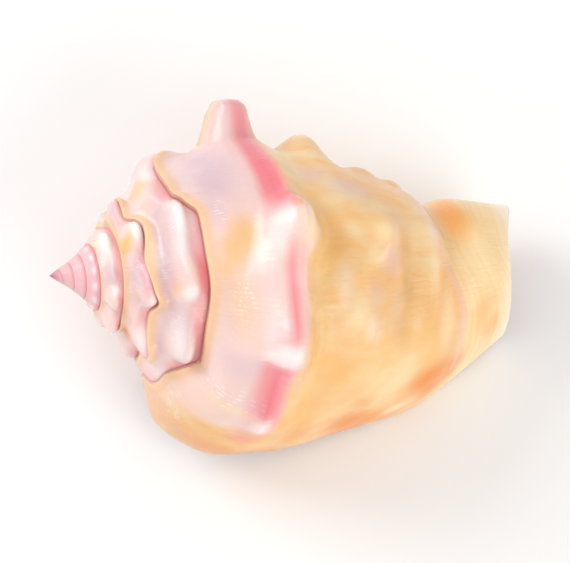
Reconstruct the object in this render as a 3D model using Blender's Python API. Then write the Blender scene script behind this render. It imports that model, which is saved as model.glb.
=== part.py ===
"""Sea snail shell, grown as one piece, at rest with its back up and its aperture down.

The surface is built from sections in half planes through the shell's axis. A section runs from a
whorl's edge over its ramp and knobbed crest to the front rim, and the sections turn round the axis
with the growth angle t, in degrees: t = 0 is the side of the tall spine on the last whorl, 90 its
back, 190 the lip. All lengths below are in units of UNIT metres, and distances are measured along
the axis from the apex.
"""

import math

import bmesh
import bpy
import numpy as np
from mathutils import Matrix, Vector

UNIT = 0.000215

T_APEX = -2520.0
T_LIP = 190.0
T_CANAL = -20.0
T_BACK = -70.0
LIP_THICK = 7.5
# direction of gravity at rest, in the growth frame: the shell lies on two ventral knobs and its lip
REST_DOWN = (0.21403, -0.26627, -0.93984)

# suture line: growth angle, distance from the apex along the axis, radius
SUTURE = [
    (-2520, 9.0, 4.6),
    (-2160, 9.9, 5.6),
    (-2070, 14.0, 8.0),
    (-1710, 24.0, 14.5),
    (-1350, 34.5, 23.0),
    (-990, 46.0, 34.0),
    (-800, 56.0, 43.0),
    (-630, 65.0, 52.0),
    (-400, 70.0, 62.0),
    (-324, 72.0, 68.0),
    (-314, 82.0, 72.0),
    (-298, 84.0, 75.0),
    (-277, 81.0, 77.0),
    (-256, 86.0, 81.0),
    (-247, 92.0, 85.0),
    (-238, 85.0, 82.0),
    (-221, 84.0, 83.0),
    (-209, 87.0, 88.0),
    (-196, 88.0, 83.0),
    (-170, 91.0, 82.0),
    (-90, 101.0, 95.0),
    (-50, 108.0, 101.0),
    (-20, 127.0, 106.0),
    (1, 127.0, 107.0),
    (13, 110.0, 104.0),
    (46, 113.0, 107.0),
    (60, 133.0, 111.0),
    (80, 134.0, 113.0),
    (101, 137.0, 115.5),
    (127, 134.0, 117.0),
    (144, 135.0, 119.0),
]
LAST_FREE_SUTURE = 144.0
# where the lip climbs back over the whorl before it: growth angle there, place in the section
CLIMB = [(-216, 3.0), (-210, 2.1), (-194, 1.3), (-170, 1.0), (-120, 1.8), (-60, 2.8), (0, 3.0), (190, 3.0)]

# ramp and crest of the spire as fractions of the way to the next suture
RAMP_PART = (0.30, 0.28)
CREST_PART = (0.56, 0.84)
# the first whorls make a nearly straight cone, up to the growth angles given
YOUNG_RAMP = (0.30, 0.34)
YOUNG_CREST = (0.60, 0.70)
YOUNG_FROM = -1500.0
YOUNG_TO = -1050.0

# sections of the last whorl: growth angle, then (distance along the axis, radius) of each station
# stations: ramp, crest, band, before row A, row A, between, row B, between, row C, groove, lobe, rim
SECTIONS = [
    (-370, (None, None, None, (125, 96), (145, 88), (172, 74), (200, 60), (228, 47), (255, 36), (288, 27),
            (330, 22), (400, 16))),
    (-170, ((99, 104), (130, 111), (158, 108), (178, 104), (200, 98), (230, 86), (260, 73), (288, 60),
            (314, 49), (345, 38), (380, 32), (452, 26))),
    (-80, ((128, 107), (160, 113), (192, 110), (212, 107), (234, 102), (264, 92), (294, 80), (320, 69),
           (344, 59), (372, 48), (402, 44), (474, 36))),
    (0, ((155, 112), (213, 118), (242, 114), (256, 112), (272, 110), (302, 96), (332, 84), (350, 76),
         (367, 68), (388, 51), (415, 57), (488, 47))),
    (90, ((168, 129), (221, 147), (240, 138), (256, 134), (282, 130), (315, 122), (345, 112), (370, 100),
          (388, 88), (402, 78), (432, 79), (467, 66))),
    (150, ((150, 158), (213, 178), (238, 177), (262, 173), (285, 167), (318, 157), (350, 147), (378, 135),
           (400, 122), (418, 109), (446, 95), (472, 79))),
    (190, ((108, 150), (172, 192), (215, 192), (250, 188), (280, 181), (315, 174), (350, 167), (380, 158),
           (405, 144), (430, 127), (455, 107), (480, 88))),
]

# knobs: growth angle, distance along the axis, half width before and after that angle in degrees,
# half width along, height, bluntness
KNOBS = [
    (6, 191, 10, 10, 23, 39, 9.0),
    (6, 182, 16, 22, 32, 10, 2.0),
    (71, 214, 7, 14, 14, 26, 2.4),
    (74, 234, 8, 12, 14, 16, 2.6),
    (119, 209, 14, 8, 16, 31, 1.9),
    (149, 193, 13, 8, 14, 14, 2.0),
    (0, 272, 14, 14, 19, 19, 2.4),
    (2, 333, 11, 11, 15, 9, 2.4),
    (2, 367, 9, 9, 12, 9, 2.4),
    (72, 334, 10, 13, 16, 13, 2.0),
    (76, 378, 9, 13, 13, 8, 2.0),
    (98, 268, 14, 16, 18, 6, 2.0),
    (117, 298, 12, 14, 18, 6, 2.0),
    (-68, 186, 13, 13, 17, 22, 2.2),
    (-125, 158, 13, 13, 15, 12, 2.2),
    (-364, 115, 15, 15, 15, 18, 2.8),
    (-302, 112, 8, 20, 8, 13, 2.8),
    (-261, 118, 14, 6, 9, 11, 2.6),
    (-222, 117, 17, 7, 9, 12, 2.8),
    (-187, 103, 8, 8, 8, 8, 2.2),
    (-408, 92, 13, 13, 10, 10, 2.4),
    (-448, 90, 13, 13, 10, 10, 2.4),
    (-488, 88, 13, 13, 9, 10, 2.4),
    (-529, 86, 12, 12, 9, 11, 2.4),
    (-568, 89, 14, 8, 8, 15, 2.8),
    (-613, 84, 17, 7, 8, 14, 2.8),
    (-663, 75, 9, 15, 8, 14, 2.8),
    (-704, 67, 12, 12, 7, 13, 2.6),
    (-745, 64, 12, 12, 6, 8, 2.4),
    (-788, 62, 12, 12, 6, 8, 2.4),
    (-830, 60, 12, 12, 6, 8, 2.4),
    (-873, 58, 12, 12, 6, 9, 2.4),
    (-916, 59, 13, 13, 7, 13, 2.6),
    (-951, 56, 12, 7, 5, 9, 2.6),
    (-984, 53, 11, 7, 5, 7, 2.6),
    (-1036, 51, 12, 14, 6, 9, 2.6),
]
# folds that run from a knob down the ramp: growth angle and distance of the upper end and of the foot,
# half width before and after in degrees, height
FOLDS = [
    (76, 210, 97, 172, 8, 12, 8),
    (121, 202, 127, 146, 16, 6, 8),
    (150, 188, 157, 128, 15, 7, 5),
]
# sharp keel along the crest of the last whorl: growth angle, height
KEEL = [(-60, 0), (0, 2), (40, 4), (60, 5), (90, 5.5), (115, 5.5), (130, 5), (150, 4), (168, 2), (185, 0)]
KEEL_HALF = 8.0
BEADS_FROM = -1480.0
BEADS_TO = -1085.0
BEAD_STEP = 30.0
BEAD_HEIGHT = 3.0


def slopes(x, y):
    """Slopes of a smooth curve through points that adds no extra humps."""
    x = np.asarray(x, float)
    y = np.asarray(y, float)
    h = np.diff(x)
    d = np.diff(y, axis=0) / h.reshape((-1,) + (1,) * (y.ndim - 1))
    m = np.zeros_like(y)
    m[0] = d[0]
    m[-1] = d[-1]
    for i in range(1, len(x) - 1):
        w1 = 2 * h[i] + h[i - 1]
        w2 = h[i] + 2 * h[i - 1]
        same = d[i - 1] * d[i] > 0
        safe0 = np.where(same, d[i - 1], 1.0)
        safe1 = np.where(same, d[i], 1.0)
        m[i] = np.where(same, (w1 + w2) / (w1 / safe0 + w2 / safe1), 0.0)
    return m


def curve(x, y, q):
    """Value at q of the smooth curve through (x, y)."""
    x = np.asarray(x, float)
    y = np.asarray(y, float)
    q = np.clip(q, x[0], x[-1])
    m = slopes(x, y)
    i = np.clip(np.searchsorted(x, q, side="right") - 1, 0, len(x) - 2)
    h = x[i + 1] - x[i]
    u = (q - x[i]) / h
    if y.ndim > 1:
        u = np.asarray(u)[..., None]
        h = np.asarray(h)[..., None]
    return ((2 * u**3 - 3 * u**2 + 1) * y[i] + (u**3 - 2 * u**2 + u) * h * m[i]
            + (3 * u**2 - 2 * u**3) * y[i + 1] + (u**3 - u**2) * h * m[i + 1])


def ease(a, b, x):
    u = np.clip((x - a) / (b - a), 0.0, 1.0)
    return u * u * (3 - 2 * u)


SUT_T = np.array([k[0] for k in SUTURE], float)
SUT_P = np.array([k[1:] for k in SUTURE], float)


def suture(t):
    return curve(SUT_T, SUT_P, t)


def ledge(t):
    """Step down from a whorl's edge to the whorl it lies on."""
    return float(np.clip(0.03 * suture(t)[1], 0.15, 3.2))


def body_station(j, t):
    """Station j (1 to 12) of the last whorl's sections at growth angle t."""
    keys = [(s[0], s[1][j - 1]) for s in SECTIONS if s[1][j - 1] is not None]
    return curve([k[0] for k in keys], [k[1] for k in keys], t)


def stations(t):
    """All thirteen stations of the section at growth angle t."""
    z = np.zeros((13, 2))
    here = suture(min(t, LAST_FREE_SUTURE))
    if t <= -216:
        nxt = suture(t + 360) - np.array([0.0, 2 * ledge(t + 360)])
    else:
        hold = suture(144.0) - np.array([0.0, 2 * ledge(144.0)])
        nxt = hold + (t + 216) * np.array([0.35, -0.12])
    z[0] = here
    late = float(ease(YOUNG_TO, YOUNG_FROM, t))
    spire_ramp = here + (nxt - here) * (np.array(RAMP_PART) * (1 - late) + np.array(YOUNG_RAMP) * late)
    spire_crest = here + (nxt - here) * (np.array(CREST_PART) * (1 - late) + np.array(YOUNG_CREST) * late)
    blend = float(ease(-250, -170, t))
    if t > -250:
        z[1] = spire_ramp * (1 - blend) + body_station(1, max(t, -170)) * blend
        z[2] = spire_crest * (1 - blend) + body_station(2, max(t, -170)) * blend
    else:
        z[1] = spire_ramp
        z[2] = spire_crest
    mix3 = float(ease(-216, -170, t))
    z[3] = nxt * (1 - mix3) + body_station(3, max(t, -170)) * mix3
    if t >= -370:
        for j in range(4, 13):
            z[j] = body_station(j, t)
    else:
        base = np.array([108.0, 100.0])
        k = z[3][1] / base[1]
        for j in range(4, 13):
            z[j] = z[3] + (body_station(j, -370) - base) * k
    if t > LAST_FREE_SUTURE:
        climb_t = t - 360
        prev = section_point(climb_t, float(curve([c[0] for c in CLIMB], [c[1] for c in CLIMB], climb_t)))
        z[0] = prev + np.array([-0.5, 1.0]) * ledge(144.0)
    return z


def section_point(t, w):
    z = stations(t)
    return curve(np.arange(13.0), z, w)


def climb(t):
    """Place in the section at growth angle t where the next whorl's edge lies."""
    if t <= CLIMB[0][0]:
        return 3.0
    return float(curve([c[0] for c in CLIMB], [c[1] for c in CLIMB], t))


# places of the grid lines: from a whorl's edge to the next whorl, and from there to the front rim
W_SPIRE = np.array([0.0, 0.45, 0.9, 1.2, 1.36, 1.58, 1.8, 2.0, 2.35, 3.0]) / 3.0
W_BODY = np.array([0.0, 0.35, 0.75, 1.2, 1.7, 2.1, 2.6, 3.1, 3.6,
                   4.1, 4.7, 5.3, 5.9, 6.6, 7.1, 7.8, 8.4, 9.0]) / 9.0


def section(t, w):
    """Points (distance along the axis, radius) and outward normals at the places w of one section."""
    z = stations(t)
    p = curve(np.arange(13.0), z, w)
    a = curve(np.arange(13.0), z, np.clip(w - 0.06, 0, 12))
    b = curve(np.arange(13.0), z, np.clip(w + 0.06, 0, 12))
    d = b - a
    d /= np.maximum(np.linalg.norm(d, axis=1, keepdims=True), 1e-9)
    n = np.stack([-d[:, 1], d[:, 0]], axis=1)
    return p, n


def knob_height(t, p):
    """Height of the knobs above the section points p at growth angle t."""
    h = np.zeros(len(p))
    for kt, ks, before, after, a_s, height, blunt in KNOBS:
        a_t = before if t < kt else after
        if abs(t - kt) <= 3.2 * a_t:
            rho = np.sqrt(((t - kt) / a_t) ** 2 + ((p[:, 0] - ks) / a_s) ** 2)
            h += height * np.exp(-0.69 * rho**blunt)
    if t > KEEL[0][0]:
        for tip_t, tip_s, foot_t, foot_s, before, after, height in FOLDS:
            away = t - foot_t - (tip_t - foot_t) * (p[:, 0] - foot_s) / (tip_s - foot_s)
            across = np.abs(away) / np.where(away < 0, before, after)
            along = ease(foot_s - 20, foot_s + 25, p[:, 0]) * (1 - ease(tip_s - 8, tip_s + 12, p[:, 0]))
            h += height * along * np.exp(-0.69 * across**1.7)
        keel = curve([k[0] for k in KEEL], [k[1] for k in KEEL], t)
        h += keel * np.exp(-np.abs(p[:, 0] - stations(t)[2][0]) / KEEL_HALF)
    if BEADS_FROM < t < BEADS_TO:
        crest = stations(t)[2]
        wave = 0.5 + 0.5 * math.cos(2 * math.pi * (t - BEADS_TO) / BEAD_STEP)
        size = BEAD_HEIGHT * float(ease(BEADS_FROM, BEADS_TO, t) * 0.5 + 0.5)
        h += size * wave * np.exp(-(((p[:, 0] - crest[0]) / 3.5) ** 2))
    return h


def place(t, s, r):
    a = math.radians(t)
    return np.stack([s, r * math.cos(a), r * math.sin(a)], axis=-1)


def relief(t, p, n):
    """How far the knobs move the section points p with normals n."""
    h = knob_height(t, p)
    if t > 0:
        h = h * (1 - 0.6 * ease(168, 190, t))
    return n * 0.25 * h[:, None] + np.array([0.0, 0.8]) * h[:, None]


def outer(t, w):
    """Outer surface with its knobs, and the plain inner offset of it."""
    p, n = section(t, w)
    out = p + relief(t, p, n)
    if t >= T_APEX + 360:
        below, below_n = section(t - 360, np.array([climb(t - 360)]))
        out = out + relief(t - 360, below, below_n) * (1 - ease(0.0, 1.0, w))[:, None]
    thick = LIP_THICK * np.minimum(1.0, 0.35 + w * 0.6)
    inner = p - n * thick[:, None]
    return place(t, out[:, 0], out[:, 1]), inner

TURN_STEPS = [(-2520, -1080, 18.0), (-1080, -530, 10.0), (-530, -170, 7.5), (-170, 190, 5.0)]
CAVITY_STEP = 13.0
TIP_ROWS = 3
POLE_S = 476.0


def growth_angles(steps):
    out = []
    for a, b, step in steps:
        n = int(round((b - a) / step))
        out += [a + (b - a) * i / n for i in range(n)]
    return out + [steps[-1][1]]


class Mesh:
    def __init__(self):
        self.verts = []
        self.faces = []

    def add(self, points):
        first = len(self.verts)
        self.verts += [tuple(float(c) for c in p) for p in points]
        return list(range(first, len(self.verts)))

    def between(self, p, q, push):
        """New point half way between the points p and q, moved by push."""
        return self.add([(np.array(self.verts[p]) + np.array(self.verts[q])) / 2 + push])[0]

    def quad_strip(self, a, b):
        for i in range(len(a) - 1):
            self.face(a[i], a[i + 1], b[i + 1], b[i])

    def face(self, *ids):
        clean = []
        for i in ids:
            if i not in clean:
                clean.append(i)
        if len(clean) >= 3:
            self.faces.append(tuple(reversed(clean)))

    def zip(self, a, ta, b, tb):
        """Triangles between two rows of points, walked in step by their growth angles."""
        i = j = 0
        while i < len(a) - 1 or j < len(b) - 1:
            go_a = j == len(b) - 1 or (i < len(a) - 1 and ta[i + 1] <= tb[j + 1] + 1e-9)
            if go_a:
                self.face(a[i], a[i + 1], b[j])
                i += 1
            else:
                self.face(a[i], b[j + 1], b[j])
                j += 1


def places(t):
    """Places in the section of the grid lines: first the part a next whorl leaves bare, then the rest."""
    cut = climb(t)
    first = W_SPIRE * cut
    rest = cut + (12.0 - cut) * W_BODY[1:]
    return first, rest


def build(steps=TURN_STEPS, cavity_step=CAVITY_STEP):
    m = Mesh()
    ts = growth_angles(steps)
    n_s = len(W_SPIRE) - 1
    rows = {}
    t_core = T_LIP - 360
    for t in ts:
        first, rest = places(t)
        w = first if t < t_core - 1e-6 else np.concatenate([first, rest])
        pts, _ = outer(t, w)
        rows[t] = m.add(pts[[0, -1]]) if t == ts[0] else m.add(pts)
    # the first section is too short for the grid: all its points but the first are one
    rows[ts[0]] = rows[ts[0]][:1] + rows[ts[0]][1:] * n_s
    for a, b in zip(ts[:-1], ts[1:]):
        k = min(len(rows[a]), len(rows[b]))
        m.quad_strip(rows[a][:k], rows[b][:k])
    # apex cap
    apex = m.add([place(0.0, np.array(SUTURE[0][1] * 0.25), np.array(0.0))])[0]
    first_turn = [t for t in ts if t <= T_APEX + 360 + 1e-6]
    for a, b in zip(first_turn[:-1], first_turn[1:]):
        m.face(apex, rows[a][0], rows[b][0])
    start = rows[ts[0]]
    m.face(apex, start[n_s], start[0])
    m.face(apex, rows[first_turn[-1]][0], start[n_s])
    # stitch each whorl's edge to the whorl before it
    up_t = [t for t in ts if t >= T_APEX + 360 - 1e-6]
    low_t = [t for t in ts if t <= t_core + 1e-6]
    m.zip([rows[t][0] for t in up_t], up_t, [rows[t][n_s] for t in low_t], [t + 360 for t in low_t])
    # cavity
    n = int(round((T_LIP - T_BACK) / cavity_step))
    cav = [T_BACK + (T_LIP - T_BACK) * i / n for i in range(n + 1)]
    cav = sorted(set([round(c, 6) for c in cav if abs(c - T_CANAL) > 4] + [T_CANAL]))
    wall = {}
    core = {}
    rim_end = {}
    for t in cav:
        first, rest = places(t)
        w = np.concatenate([first, rest])
        _, inner = outer(t, w)
        core_first, core_rest = places(t - 360)
        gap = float(ease(T_LIP, T_LIP - 22, t))
        start_w = core_first[-1] + 0.9 * gap
        core_w = start_w + (12.0 - start_w) * W_BODY
        core_sp, core_n = section(t - 360, core_w)
        if t < T_LIP - 1e-6:
            core_sp = core_sp - core_n * (3.0 * gap * ease(0, 0.3, W_BODY))[:, None]
        # the end of the core at the canal
        near = 1.0 - float(ease(T_CANAL, T_CANAL + 40, t))
        if t <= T_CANAL:
            near = 1.0 - 0.75 * float(ease(T_CANAL, T_BACK, t))
        last = core_sp[-1] + np.array([3.0, -4.0])
        inner_end = inner[-1]
        pull = near * ease(0.45, 1.0, W_BODY) * 0.9
        target = inner[n_s:]
        core_sp = core_sp * (1 - pull)[:, None] + (target + np.array([-2.0, -4.0])) * pull[:, None]
        end = last * (1 - near) + inner_end * near
        if t < T_CANAL:
            core_sp[-1] = (core_sp[-2] + end) / 2 + np.array([0.0, -1.5])
        depth = float(ease(T_BACK - 22, T_BACK + 60, t))
        open_w = np.concatenate([np.zeros(n_s), W_BODY])
        core_all = np.concatenate([np.repeat(core_sp[:1], n_s, axis=0), core_sp])
        g = np.full(len(w), depth)
        if t < T_CANAL:
            g = g * (1 - open_w**3 * (0.5 + 0.5 * float(ease(T_CANAL, T_BACK, t))))
        wall_sp = core_all * (1 - g)[:, None] + inner * g[:, None]
        wall_sp[0] = core_sp[0]
        core_pts = place(t, core_sp[:, 0], core_sp[:, 1])
        wall_pts = place(t, wall_sp[:, 0], wall_sp[:, 1])
        end_pt = place(t, np.array([end[0]]), np.array([end[1]]))
        if abs(t - T_LIP) < 1e-6:
            core[t] = rows[t_core][n_s:]
            end_id = None
        else:
            core[t] = m.add(core_pts)
            end_id = m.add(end_pt)[0]
        if t == cav[0]:
            wall[t] = [core[t][0]] * n_s + core[t]
        else:
            ids = m.add(wall_pts[1:])
            wall[t] = [core[t][0]] + ids
        rim_end[t] = end_id
        if t <= T_CANAL + 1e-6:
            wall[t][-1] = end_id
    # tip rows round the pole
    tip_t = [t for t in ts if t_core - 1e-6 <= t <= T_CANAL + 1e-6]
    ring = []
    ring_t = []
    for t in tip_t:
        if abs(t - T_CANAL) < 1e-6:
            ring.append(rim_end[T_CANAL])
        else:
            flat, nrm = section(t, np.array([11.6, 12.0]))
            b = float(ease(t_core, T_CANAL, t))
            drop = 3.0 + (LIP_THICK - 3.0) * b
            q = flat[1] - nrm[1] * drop + np.array([1.0, 0.0])
            ring.append(m.add([place(t, q[0], q[1])])[0])
        ring_t.append(t)
    start_end = ring[0]
    rim_end[T_LIP] = start_end
    for (ta, a), (tb, b) in zip(list(zip(ring_t, ring))[:-1], list(zip(ring_t, ring))[1:]):
        m.face(rows[ta][-1], a, b, rows[tb][-1])
    for t in cav:
        if t > T_CANAL + 1e-6:
            ring.append(rim_end[t])
            ring_t.append(t)
    ring = ring[:-1] + [ring[0]]
    prev = ring
    for k in range(1, TIP_ROWS):
        f = k / TIP_ROWS
        ids = []
        for v in prev[:-1]:
            x, y, z = m.verts[v]
            g0 = (TIP_ROWS - k) / (TIP_ROWS - k + 1)
            ids.append(m.add([(POLE_S + (x - POLE_S) * g0 * 0.9, y * g0, z * g0)])[0])
        ids = ids + [ids[0]]
        for i in range(len(prev) - 1):
            m.face(prev[i], ids[i], ids[i + 1], prev[i + 1])
        prev = ids
    pole = m.add([(POLE_S, 0.0, 0.0)])[0]
    for i in range(len(prev) - 1):
        m.face(prev[i], pole, prev[i + 1])
    # cavity faces, facing into the hollow
    for a, b in zip(cav[:-1], cav[1:]):
        m.quad_strip(wall[b], wall[a])
        ca = core[a] + [rim_end[a]]
        cb = core[b] + [rim_end[b]]
        m.quad_strip(ca, cb)
    m.face(core[cav[0]][-2], rim_end[cav[0]], core[cav[0]][-1])
    # lip edge and front rim
    o = rows[T_LIP]
    i = wall[T_LIP]
    n_all = len(o)
    lip_mid = []
    a = math.radians(T_LIP)
    grow = np.array([0.0, -math.sin(a), math.cos(a)])
    for k in range(1, n_all):
        push = grow * LIP_THICK * 0.35
        if k == n_all - 1:
            push = push * 0.6 + np.array([LIP_THICK * 0.25, 0, 0])
        lip_mid.append(m.between(o[k], i[k], push))
    m.face(o[0], lip_mid[0], i[0])
    m.face(o[0], o[1], lip_mid[0])
    m.face(i[0], lip_mid[0], i[1])
    for k in range(1, n_all - 1):
        m.face(o[k], o[k + 1], lip_mid[k], lip_mid[k - 1])
        m.face(lip_mid[k - 1], lip_mid[k], i[k + 1], i[k])
    rim_t = [t for t in ts if t >= T_CANAL - 1e-6]
    in_t = [t for t in cav if t >= T_CANAL - 1e-6]
    out_row = [rows[t][-1] for t in rim_t]
    in_row = [wall[t][-1] for t in in_t]
    mids = []
    for t in in_t[1:-1]:
        j = min(range(len(rim_t)), key=lambda q: abs(rim_t[q] - t))
        mids.append(m.between(rows[rim_t[j]][-1], wall[t][-1], np.array([LIP_THICK * 0.35, 0, 0])))
    mid_row = mids + [lip_mid[-1]]
    mid_t = in_t[1:]
    m.face(out_row[0], in_row[0], mid_row[0])
    m.face(in_row[0], in_row[1], mid_row[0])
    k0 = [q for q in range(len(rim_t)) if rim_t[q] <= mid_t[0] + 1e-6]
    m.zip(in_row[1:], in_t[1:], mid_row, mid_t)
    # outer side of the rim: the first point joins all the outer points up to it
    last = k0[-1]
    for q in range(last):
        m.face(out_row[q], mid_row[0], out_row[q + 1])
    m.zip(mid_row, mid_t, out_row[last:], rim_t[last:])
    return m


def rest_matrix():
    """Turn from the growth frame to the resting frame: spire towards -X, back up."""
    up = -Vector(REST_DOWN).normalized()
    along = Vector((1.0, 0.0, 0.0))
    along = (along - up * along.dot(up)).normalized()
    side = up.cross(along)
    return Matrix((along, side, up))


def main():
    for obj in list(bpy.data.objects):
        bpy.data.objects.remove(obj, do_unlink=True)
    collection = bpy.data.collections.new("sea_snail_shell")
    bpy.context.scene.collection.children.link(collection)
    grown = build()
    turn = rest_matrix()
    verts = [turn @ (Vector(v) * UNIT) for v in grown.verts]
    low = [min(v[i] for v in verts) for i in range(3)]
    high = [max(v[i] for v in verts) for i in range(3)]
    base = Vector(((low[0] + high[0]) / 2, (low[1] + high[1]) / 2, low[2]))
    data = bpy.data.meshes.new("shell")
    data.from_pydata([v - base for v in verts], [], grown.faces)
    solid = bmesh.new()
    solid.from_mesh(data)
    bmesh.ops.triangulate(solid, faces=solid.faces[:])
    solid.to_mesh(data)
    solid.free()
    shell = bpy.data.objects.new("shell", data)
    collection.objects.link(shell)
    material = bpy.data.materials.new("shell_calcite")
    material.use_nodes = True
    node = material.node_tree.nodes["Principled BSDF"]
    node.inputs["Base Color"].default_value = (0.93, 0.68, 0.45, 1.0)
    node.inputs["Roughness"].default_value = 0.2
    data.materials.append(material)


main()
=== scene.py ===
# %% [markdown]
# # A sea snail shell
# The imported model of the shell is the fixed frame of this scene. It is a coarse solid with the
# right size and place. This lesson grows a finer skin on the same plan, paints it with a material
# made of nodes, and lights it.

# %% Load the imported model
import math

import bpy
import numpy as np
from mathutils import Matrix, Vector


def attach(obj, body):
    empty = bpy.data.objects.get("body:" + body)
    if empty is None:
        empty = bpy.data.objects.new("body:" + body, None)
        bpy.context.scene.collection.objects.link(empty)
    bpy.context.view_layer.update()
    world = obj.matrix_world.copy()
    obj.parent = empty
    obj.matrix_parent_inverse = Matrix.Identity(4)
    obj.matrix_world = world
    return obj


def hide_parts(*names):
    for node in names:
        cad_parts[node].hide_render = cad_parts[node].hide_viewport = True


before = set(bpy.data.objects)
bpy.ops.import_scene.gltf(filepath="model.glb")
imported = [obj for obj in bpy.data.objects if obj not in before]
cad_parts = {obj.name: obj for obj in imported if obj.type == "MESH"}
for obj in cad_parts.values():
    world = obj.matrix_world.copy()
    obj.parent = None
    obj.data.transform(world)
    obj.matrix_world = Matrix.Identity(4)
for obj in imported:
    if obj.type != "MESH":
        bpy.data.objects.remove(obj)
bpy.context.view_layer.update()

# %% [markdown]
# ## How a shell grows
# A snail builds its shell at the lip, and the lip turns round an axis while it moves away from the
# apex and gets bigger. So every point of the shell has three natural numbers: the growth angle t at
# which it was built, its distance s along the axis, and its radius r. Box modelling or a spin can't
# give whorls that overlap each other, so the mesh is computed from these numbers, section by
# section. All lengths are in units of about a fifth of a millimetre, measured from the apex.

# %% Measures of growth
# one unit in metres
UNIT = 0.000215
# growth angles of the apex, of the lip's edge, of the place where the hollow reaches the front rim,
# and of the inner end of the hollow
T_APEX = -2520.0
T_LIP = 190.0
T_CANAL = -20.0
T_BACK = -70.0
# the spire's plain sections end at the first angle, and those of the last whorl start at the second
SPIRE_UNTIL = -216.0
BODY_FROM = -170.0
LIP_THICK = 7.5
# where the front end of the inner whorl closes on the axis
POLE_S = 476.0
print("one unit is", UNIT * 1000, "mm")

# %% Suture line
# growth angle, distance from the apex along the axis, radius
SUTURE = [
    (-2520, 9, 4.6), (-2160, 9.9, 5.6), (-2070, 14, 8), (-1710, 24, 14.5),
    (-1350, 34.5, 23), (-990, 46, 34), (-800, 56, 43), (-630, 65, 52),
    (-400, 70, 62), (-324, 72, 68), (-314, 82, 72), (-298, 84, 75),
    (-277, 81, 77), (-256, 86, 81), (-247, 92, 85), (-238, 85, 82),
    (-221, 84, 83), (-209, 87, 88), (-196, 88, 83), (-170, 91, 82),
    (-90, 101, 95), (-50, 108, 101), (-20, 127, 106), (1, 127, 107),
    (13, 110, 104), (46, 113, 107), (60, 133, 111), (80, 134, 113),
    (101, 137, 115.5), (127, 134, 117), (144, 135, 119),
]
LAST_FREE_SUTURE = 144.0
# where the lip climbs back over the whorl before it: growth angle there, place in the section
CLIMB = [(-216, 3.0), (-210, 2.1), (-194, 1.3), (-170, 1.0), (-120, 1.8), (-60, 2.8), (0, 3.0), (190, 3.0)]

# ramp and crest of the spire as fractions of the way to the next suture
RAMP_PART = (0.30, 0.28)
CREST_PART = (0.56, 0.84)
# the first whorls make a nearly straight cone
YOUNG_RAMP = (0.30, 0.34)
YOUNG_CREST = (0.60, 0.70)
YOUNG_FROM = -1500.0
YOUNG_TO = -1050.0
print(len(SUTURE), "places on the suture")

# %% Sections of the last whorl
# growth angle, then (distance along the axis, radius) of each station:
# ramp, crest, band, before row A, row A, between, row B, between, row C, groove, lobe, rim
SECTIONS = [
    (-370, (None, None, None, (125, 96), (145, 88), (172, 74), (200, 60), (228, 47), (255, 36), (288, 27),
            (330, 22), (400, 16))),
    (-170, ((99, 104), (130, 111), (158, 108), (178, 104), (200, 98), (230, 86), (260, 73), (288, 60),
            (314, 49), (345, 38), (380, 32), (452, 26))),
    (-80, ((128, 107), (160, 113), (192, 110), (212, 107), (234, 102), (264, 92), (294, 80), (320, 69),
           (344, 59), (372, 48), (402, 44), (474, 36))),
    (0, ((155, 112), (213, 118), (242, 114), (256, 112), (272, 110), (302, 96), (332, 84), (350, 76),
         (367, 68), (388, 51), (415, 57), (488, 47))),
    (90, ((168, 129), (221, 147), (240, 138), (256, 134), (282, 130), (315, 122), (345, 112), (370, 100),
          (388, 88), (402, 78), (432, 79), (467, 66))),
    (150, ((150, 158), (213, 178), (238, 177), (262, 173), (285, 167), (318, 157), (350, 147), (378, 135),
           (400, 122), (418, 109), (446, 95), (472, 79))),
    (190, ((108, 150), (172, 192), (215, 192), (250, 188), (280, 181), (315, 174), (350, 167), (380, 158),
           (405, 144), (430, 127), (455, 107), (480, 88))),
]
print("growth from", T_APEX, "to", T_LIP, "degrees,", round((T_LIP - T_APEX) / 360, 1), "whorls")

# %% [markdown]
# ## Knobs and spines
# The shoulder of each whorl carries knobs, where the snail folded its lip while it grew. Each knob
# is one line of numbers: where it stands in growth angle and along the axis, how wide it is both
# ways, how high, and how blunt. The last number says how white its tip is. The tall spine takes three
# lines: the spine, its flared foot, and the slope round that. A negative height makes a hollow.

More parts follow.
